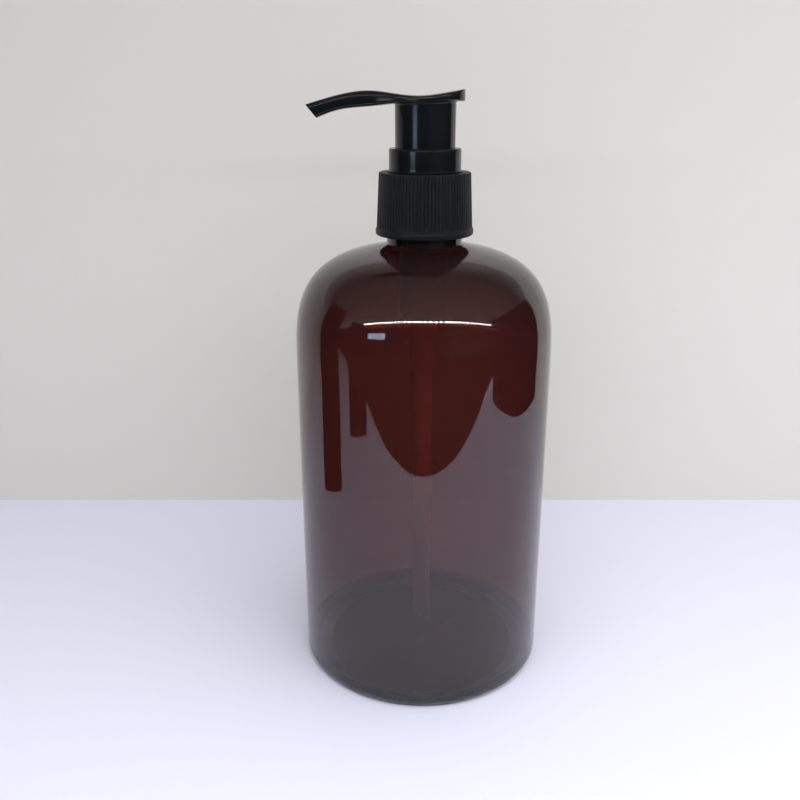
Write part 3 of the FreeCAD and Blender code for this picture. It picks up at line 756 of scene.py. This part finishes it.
def paleMaterial(name, colour, oneSided=False):
    # painted board: matt, dulled unevenly by wiping
    lowest, highest = stage["roughness"]
    material, tree, shader, place = newMaterial(name, {"Base Color": linearColour(colour), "Roughness": 0.6})
    mottle = addNode(tree, "ShaderNodeTexNoise", {"Scale": 6.0, "Detail": 3.0}, {"Vector": (place, "Object")})
    ramp = addNode(tree, "ShaderNodeMapRange", {"To Min": lowest, "To Max": highest},
                   {"Value": (mottle, "Fac")})
    tree.links.new(ramp.outputs["Result"], shader.inputs["Roughness"])
    if oneSided:   # clear from behind, so that the object shows from every side
        side = addNode(tree, "ShaderNodeNewGeometry")
        clear = addNode(tree, "ShaderNodeBsdfTransparent")
        mix = addNode(tree, "ShaderNodeMixShader", None,
                      {0: (side, "Backfacing"), 1: (shader, "BSDF"), 2: (clear, "BSDF")})
        tree.links.new(mix.outputs["Shader"], tree.nodes["Material Output"].inputs["Surface"])
    return material


def makeStage():
    s = stage
    far = s["floorHalf"]
    stagePlane("floor", [(-far, -far, 0), (far, -far, 0), (far, far, 0), (-far, far, 0)],
               paleMaterial("paintedBoard", s["floorColour"]))
    stagePlane("backWall", [(-far, s["wallY"], 0), (far, s["wallY"], 0), (far, s["wallY"], s["wallTop"]),
                            (-far, s["wallY"], s["wallTop"])],
               paleMaterial("paintedWall", s["wallColour"], oneSided=True))
    world = bpy.data.worlds.new("studio")
    bpy.context.scene.world = world
    world.use_nodes = True
    background = world.node_tree.nodes["Background"]
    background.inputs["Color"].default_value = linearColour(s["world"])
    background.inputs["Strength"].default_value = s["worldStrength"]


# Cards that only reflections see. Upright ones are given by two floor points, low and high.
cards = {
    "frontY": -0.205, "sideX": 1.5, "ceilingZ": 0.222, "ceilingColour": "#F4F1EC",
    "ceilingStrengths": (0.46, 0.13, 0.50), "ceilingTurn": 0.03, "darkColour": "#171616",
    "dark": {"openFront": ((-1.5, -0.205), (1.5, -0.205), 0.0, 0.222),
             "leftBottleNear": ((-0.222, -0.108), (-0.187, -0.169), 0.0, 0.19),
             "leftBottleFar": ((-0.166, 0.007), (-0.166, -0.055), 0.0, 0.19),
             "rightEnd": ((0.262, -0.165), (0.275, 0.103), 0.0, 0.222)},
    "windowSpan": (-0.222, -0.130), "windowHeights": (0.140, 0.166), "windowColour": "#B9C8E4",
    "windowStrength": 7.0,
    "roomSpan": (0.06, 0.42), "roomHeights": (0.085, 0.185), "roomColour": "#8C7A74", "roomStrength": 0.35,
    "lightsFrom": -0.267, "lightsTo": 1.30, "lightsY": -0.2, "lightsPitch": 0.0167, "lightsRadius": 0.0032,
    "lightsStrength": 130.0, "lightsGlow": 0.5, "lightsHalfStrip": 0.004, "lightsDrop": 0.0005,
    "valanceHeights": (0.2150, 0.2212), "valanceColour": "#FFF1E6", "valanceStrength": 5.0,
}


def glowMaterial(name, colour, strength):
    # plain glow, whose node is returned so that a pattern can drive its strength
    material = bpy.data.materials.new(name)
    material.use_nodes = True
    tree = material.node_tree
    tree.nodes.remove(tree.nodes["Principled BSDF"])
    glow = addNode(tree, "ShaderNodeEmission", {"Color": linearColour(colour), "Strength": strength})
    tree.links.new(glow.outputs["Emission"], tree.nodes["Material Output"].inputs["Surface"])
    return material, tree, glow


def reflectionCard(name, corners, material):
    card = stagePlane(name, corners, material)
    card.visible_camera = False
    card.visible_diffuse = False
    card.visible_transmission = False
    card.visible_shadow = False
    card.visible_volume_scatter = False
    return card


def uprightCard(name, ends, material, behind=0.0):
    (xa, ya), (xb, yb), low, high = ends
    return reflectionCard(name, [(xa, ya + behind, low), (xb, yb + behind, low), (xb, yb + behind, high),
                                 (xa, ya + behind, high)], material)


def makeCards():
    c = cards
    top, front, back = c["ceilingZ"], c["frontY"], stage["wallY"]
    dark = glowMaterial("darkRoom", c["darkColour"], 1.0)[0]
    for name, ends in c["dark"].items():
        uprightCard(name, ends, dark)
    uprightCard("window", ((c["windowSpan"][0], front), (c["windowSpan"][1], front), *c["windowHeights"]),
                glowMaterial("windowLight", c["windowColour"], c["windowStrength"])[0], 0.001)
    uprightCard("room", ((c["roomSpan"][0], front), (c["roomSpan"][1], front), *c["roomHeights"]),
                glowMaterial("roomLight", c["roomColour"], c["roomStrength"])[0], 0.001)
    # the board under the ceiling's front edge, which the row of lights shines on
    uprightCard("valance", ((c["lightsFrom"], front), (c["lightsTo"], front), *c["valanceHeights"]),
                glowMaterial("litBoard", c["valanceColour"], c["valanceStrength"])[0], 0.001)
    # the ceiling is bright over the open front, dim in the middle, and lit by the wall at its back
    ceiling, tree, glow = glowMaterial("shadedCeiling", c["ceilingColour"], 1.0)
    place = addNode(tree, "ShaderNodeTexCoord")
    split = addNode(tree, "ShaderNodeSeparateXYZ", None, {"Vector": (place, "Object")})
    atFront, atTurn, atBack = c["ceilingStrengths"]
    fall = addNode(tree, "ShaderNodeMapRange",
                   {"From Min": front, "From Max": c["ceilingTurn"], "To Min": atFront, "To Max": atTurn},
                   {"Value": (split, "Y")})
    climb = addNode(tree, "ShaderNodeMapRange",
                    {"From Min": c["ceilingTurn"], "From Max": back,
                     "To Min": 0.0, "To Max": atBack - atTurn}, {"Value": (split, "Y")})
    both = addNode(tree, "ShaderNodeMath", {"operation": "ADD"}, {0: (fall, "Result"), 1: (climb, "Result")})
    tree.links.new(both.outputs["Value"], glow.inputs["Strength"])
    end = c["sideX"]
    reflectionCard("ceiling", [(-end, front, top), (end, front, top), (end, back, top), (-end, back, top)],
                   ceiling)
    # row of lights: round dots at an even pitch along X on a faintly glowing strip
    row, tree, glow = glowMaterial("rowOfLights", "#FFFFFF", 1.0)
    place = addNode(tree, "ShaderNodeTexCoord")
    split = addNode(tree, "ShaderNodeSeparateXYZ", None, {"Vector": (place, "Object")})
    along = addNode(tree, "ShaderNodeMath", {"operation": "PINGPONG", 1: c["lightsPitch"] / 2},
                    {0: (split, "X")})
    aside = addNode(tree, "ShaderNodeMath", {"operation": "SUBTRACT", 1: c["lightsY"]}, {0: (split, "Y")})
    offset = addNode(tree, "ShaderNodeCombineXYZ", None, {"X": (along, "Value"), "Y": (aside, "Value")})
    distance = addNode(tree, "ShaderNodeVectorMath", {"operation": "LENGTH"}, {0: (offset, "Vector")})
    power = addNode(tree, "ShaderNodeMapRange",
                    {"From Min": c["lightsRadius"], "From Max": c["lightsRadius"] * 1.3,
                     "To Min": c["lightsStrength"], "To Max": c["lightsGlow"]},
                    {"Value": (distance, "Value")})
    tree.links.new(power.outputs["Result"], glow.inputs["Strength"])
    left, right, below = c["lightsFrom"], c["lightsTo"], top - c["lightsDrop"]
    near, far = c["lightsY"] - c["lightsHalfStrip"], c["lightsY"] + c["lightsHalfStrip"]
    strip = reflectionCard("lights", [(left, near, below), (right, near, below), (right, far, below),
                                      (left, far, below)], row)
    strip.visible_transmission = True


# A broad soft lamp overhead, and a strip that gives the room the light of the row. Metres and watts.
lamps = {
    "overhead": {"place": (0.20, -0.14, 0.55), "aim": (0.10, 0.0, 0.03), "size": (0.9, 0.7), "power": 2.9,
                 "colour": "#FFFFFF"},
    "rowGlow": {"place": (0.1665, -0.200, 0.221), "aim": (0.1665, -0.15, 0.0), "size": (0.87, 0.02),
                "power": 0.9, "colour": "#F4F7FF"},
}


def makeLamps():
    for name, lamp in lamps.items():
        data = bpy.data.lights.new(name, "AREA")
        data.shape = "RECTANGLE"
        data.size, data.size_y = lamp["size"]
        data.energy = lamp["power"]
        data.color = linearColour(lamp["colour"])[:3]
        holder = bpy.data.objects.new(name, data)
        bpy.context.scene.collection.objects.link(holder)
        holder.location = lamp["place"]
        aim = Vector(lamp["aim"]) - Vector(lamp["place"])
        holder.rotation_euler = aim.to_track_quat("-Z", "Y").to_euler()
        holder.visible_glossy = False


# Where the camera stands, in metres, how far it looks down, and its focal length and sensor width in mm.
viewer = {"back": 0.24992, "side": -0.00702, "height": 0.17266, "pitchDegrees": 19.39, "lens": 38.7,
          "sensor": 36}


def makeCamera():
    data = bpy.data.cameras.new("camera")
    data.lens = viewer["lens"]
    data.sensor_width = viewer["sensor"]
    data.clip_start = 0.01
    holder = bpy.data.objects.new("camera", data)
    bpy.context.scene.collection.objects.link(holder)
    holder.location = (viewer["side"], -viewer["back"], viewer["height"])
    holder.rotation_euler = (math.radians(90 - viewer["pitchDegrees"]), 0, 0)
    bpy.context.scene.camera = holder


makeStage()
makeCards()
makeLamps()
makeCamera()
bpy.context.scene.view_settings.view_transform = "Standard"
print("stage, lamps and camera made")
